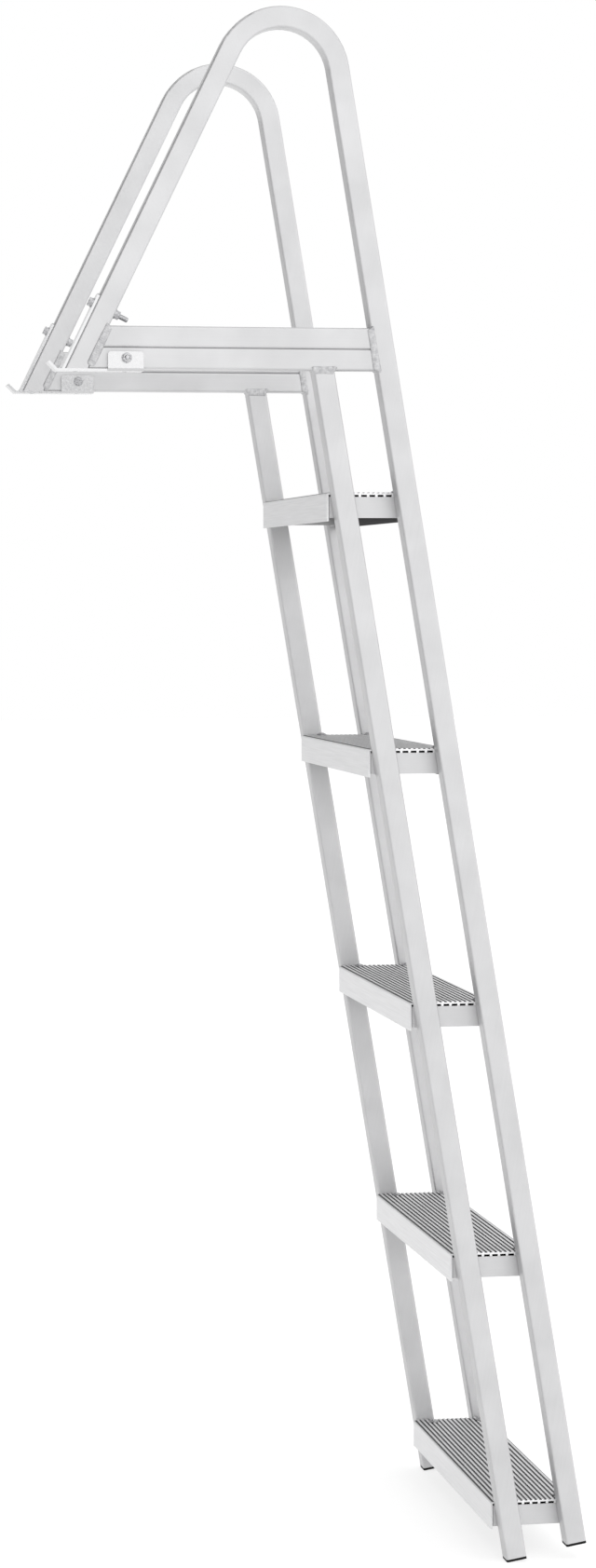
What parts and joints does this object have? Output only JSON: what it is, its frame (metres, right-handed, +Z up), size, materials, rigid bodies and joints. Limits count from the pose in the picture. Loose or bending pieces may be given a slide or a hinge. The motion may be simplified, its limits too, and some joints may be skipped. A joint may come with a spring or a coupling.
{
  "type": "boat boarding ladder",
  "caption": "Fixed dock boarding ladder: hooped square-tube side frames, ribbed channel treads and bolt-down deck brackets.",
  "frame": {"origin": "on the deck under the bracket plates, at the centre of the four deck-screw holes", "axes": "+Z up, +Y inland over the dock, -Y over the water, X across the ladder, which is mirror-symmetric about X = 0"},
  "size_m": [0.5318, 0.6473, 1.8564],
  "materials": {
    "frame_aluminium": "satin anodised square tube",
    "tread_aluminium": "satin extrusion, ribbed",
    "bracket_steel": "bright stainless sheet",
    "fastener_steel": "stainless fasteners",
    "foot_rubber": "moulded black rubber"
  },
  "bodies": {
    "root": {"left_bearer_1": "frame_aluminium", "left_bearer_2": "frame_aluminium", "left_bearer_3": "frame_aluminium", "left_bearer_4": "frame_aluminium", "left_bearer_5": "frame_aluminium", "left_deck_bracket": "bracket_steel", "left_ear_bolt": "fastener_steel", "left_ear_nut": "fastener_steel", "left_ear_washers": "fastener_steel", "left_handrail": "frame_aluminium", "left_inner_foot": "foot_rubber", "left_inner_rail": "frame_aluminium", "left_lower_bar": "frame_aluminium", "left_outer_foot": "foot_rubber", "left_toe_bolt": "fastener_steel", "left_toe_nut": "fastener_steel", "left_toe_strap": "bracket_steel", "left_toe_washers": "fastener_steel", "left_upper_bar": "frame_aluminium", "right_bearer_1": "frame_aluminium", "right_bearer_2": "frame_aluminium", "right_bearer_3": "frame_aluminium", "right_bearer_4": "frame_aluminium", "right_bearer_5": "frame_aluminium", "right_deck_bracket": "bracket_steel", "right_ear_bolt": "fastener_steel", "right_ear_nut": "fastener_steel", "right_ear_washers": "fastener_steel", "right_handrail": "frame_aluminium", "right_inner_foot": "foot_rubber", "right_inner_rail": "frame_aluminium", "right_lower_bar": "frame_aluminium", "right_outer_foot": "foot_rubber", "right_toe_bolt": "fastener_steel", "right_toe_nut": "fastener_steel", "right_toe_strap": "bracket_steel", "right_toe_washers": "fastener_steel", "right_upper_bar": "frame_aluminium", "tread_1": "tread_aluminium", "tread_2": "tread_aluminium", "tread_3": "tread_aluminium", "tread_4": "tread_aluminium", "tread_5": "tread_aluminium", "tread_bolts_1": "fastener_steel", "tread_bolts_2": "fastener_steel", "tread_bolts_3": "fastener_steel", "tread_bolts_4": "fastener_steel", "tread_bolts_5": "fastener_steel", "tread_nuts_1": "fastener_steel", "tread_nuts_2": "fastener_steel", "tread_nuts_3": "fastener_steel", "tread_nuts_4": "fastener_steel", "tread_nuts_5": "fastener_steel", "tread_washers_1": "fastener_steel", "tread_washers_2": "fastener_steel", "tread_washers_3": "fastener_steel", "tread_washers_4": "fastener_steel", "tread_washers_5": "fastener_steel"}
  },
  "joints": []
}
